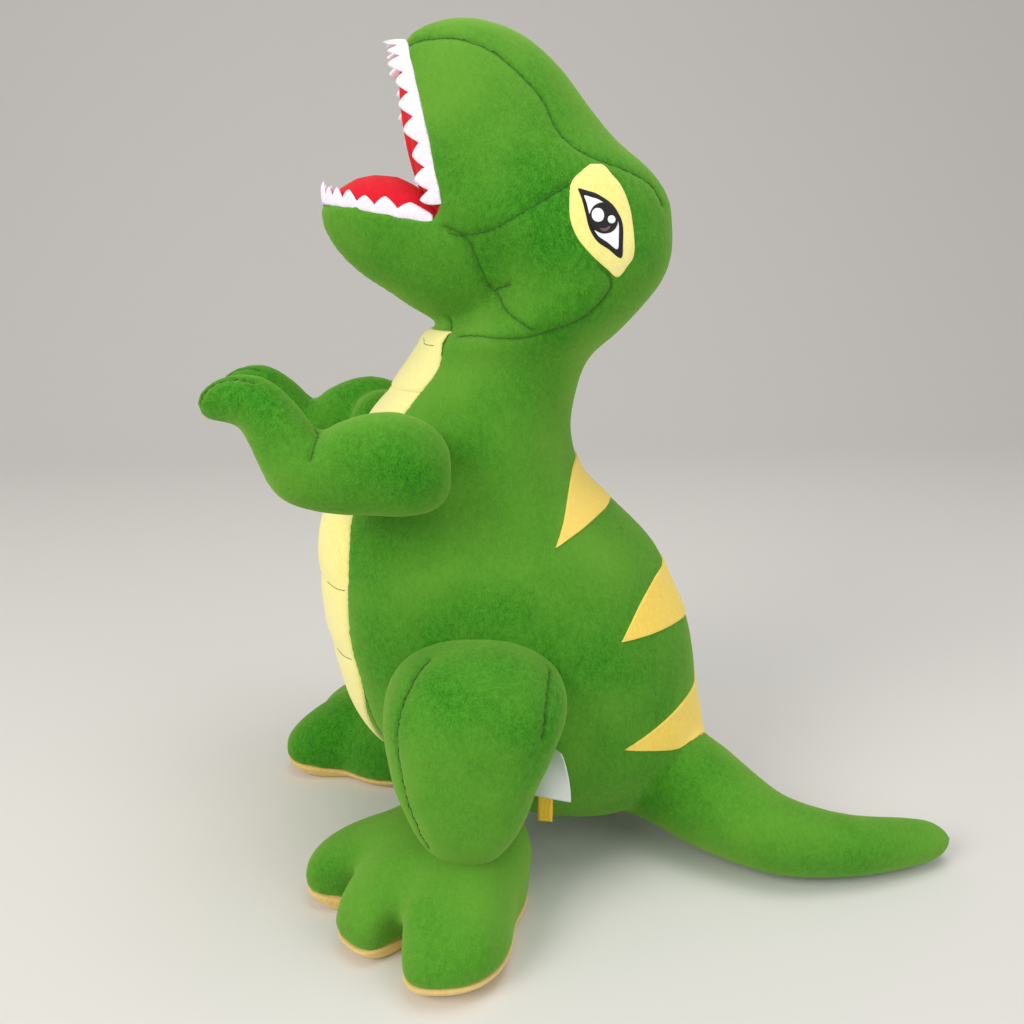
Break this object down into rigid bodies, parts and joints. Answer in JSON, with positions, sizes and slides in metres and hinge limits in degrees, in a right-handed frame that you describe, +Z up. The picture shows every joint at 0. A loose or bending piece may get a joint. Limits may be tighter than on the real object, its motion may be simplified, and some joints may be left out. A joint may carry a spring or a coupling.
{
  "type": "stuffed dinosaur toy",
  "caption": "Standing plush dinosaur with its head thrown back, mouth wide open, short arms, striped back and a tail swung to one side.",
  "frame": {"origin": "on the floor, under the middle of the box round the whole toy", "axes": "+Z up, -Y the way the toy faces, +X its left side"},
  "size_m": [0.4138, 0.5514, 0.5995],
  "materials": {
    "green_plush": "short pile plush",
    "light_green_plush": "short pile plush",
    "cream_plush": "short pile plush",
    "amber_plush": "short pile plush",
    "tan_plush": "short pile plush",
    "red_velour": "short velour",
    "white_felt": "felt",
    "white_embroidery": "thread",
    "black_embroidery": "thread",
    "white_satin": "satin weave",
    "amber_ribbon": "satin ribbon",
    "green_thread": "thread",
    "fibre_fill": "loose fibre"
  },
  "bodies": {
    "body": {"torso_skin": "green_plush", "torso_filling": "fibre_fill", "belly_strip": "cream_plush", "back_stripe_upper": "amber_plush", "back_stripe_middle": "amber_plush", "back_stripe_lower": "amber_plush", "left_thigh_skin": "green_plush", "left_thigh_filling": "fibre_fill", "right_thigh_skin": "green_plush", "right_thigh_filling": "fibre_fill", "left_foot_skin": "green_plush", "left_foot_filling": "fibre_fill", "left_sole": "tan_plush", "right_foot_skin": "green_plush", "right_foot_filling": "fibre_fill", "right_sole": "tan_plush", "closing_seam": "green_thread", "care_label": "white_satin", "ribbon_loop": "amber_ribbon"},
    "head": {"head_skin": "green_plush", "head_filling": "fibre_fill", "nape_band": "light_green_plush", "throat_strip": "cream_plush", "mouth_roof": "red_velour", "upper_teeth": "white_felt", "left_eye_patch": "cream_plush", "left_eye": "white_embroidery", "left_iris": "black_embroidery", "right_eye_patch": "cream_plush", "right_eye": "white_embroidery", "right_iris": "black_embroidery"},
    "jaw": {"jaw_skin": "green_plush", "jaw_filling": "fibre_fill", "mouth_floor": "red_velour", "lower_teeth": "white_felt"},
    "left_arm": {"left_arm_skin": "green_plush", "left_arm_filling": "fibre_fill"},
    "right_arm": {"right_arm_skin": "green_plush", "right_arm_filling": "fibre_fill"},
    "tail": {"tail_skin": "green_plush", "tail_filling": "fibre_fill"}
  },
  "joints": [
    {"name": "neck_flex", "type": "hinge", "parent": "body", "child": "head", "pos_m": [0, -0.0587, 0.376], "axis": [1, 0, 0], "range_deg": [-8, 8], "stiffness_Nm_per_rad": 6},
    {"name": "jaw_flex", "type": "hinge", "parent": "head", "child": "jaw", "pos_m": [0, -0.1007, 0.468], "axis": [-1, 0, 0], "range_deg": [0, 10], "stiffness_Nm_per_rad": 1.2},
    {"name": "left_shoulder", "type": "hinge", "parent": "body", "child": "left_arm", "pos_m": [0.1, -0.1267, 0.317], "axis": [-1, 0, 0], "range_deg": [-20, 25], "stiffness_Nm_per_rad": 0.6},
    {"name": "right_shoulder", "type": "hinge", "parent": "body", "child": "right_arm", "pos_m": [-0.1, -0.1427, 0.317], "axis": [-1, 0, 0], "range_deg": [-20, 25], "stiffness_Nm_per_rad": 0.6},
    {"name": "tail_sway", "type": "hinge", "parent": "body", "child": "tail", "pos_m": [0.04, 0.0713, 0.054], "axis": [0, 0, 1], "range_deg": [-8, 8], "stiffness_Nm_per_rad": 1.5}
  ]
}
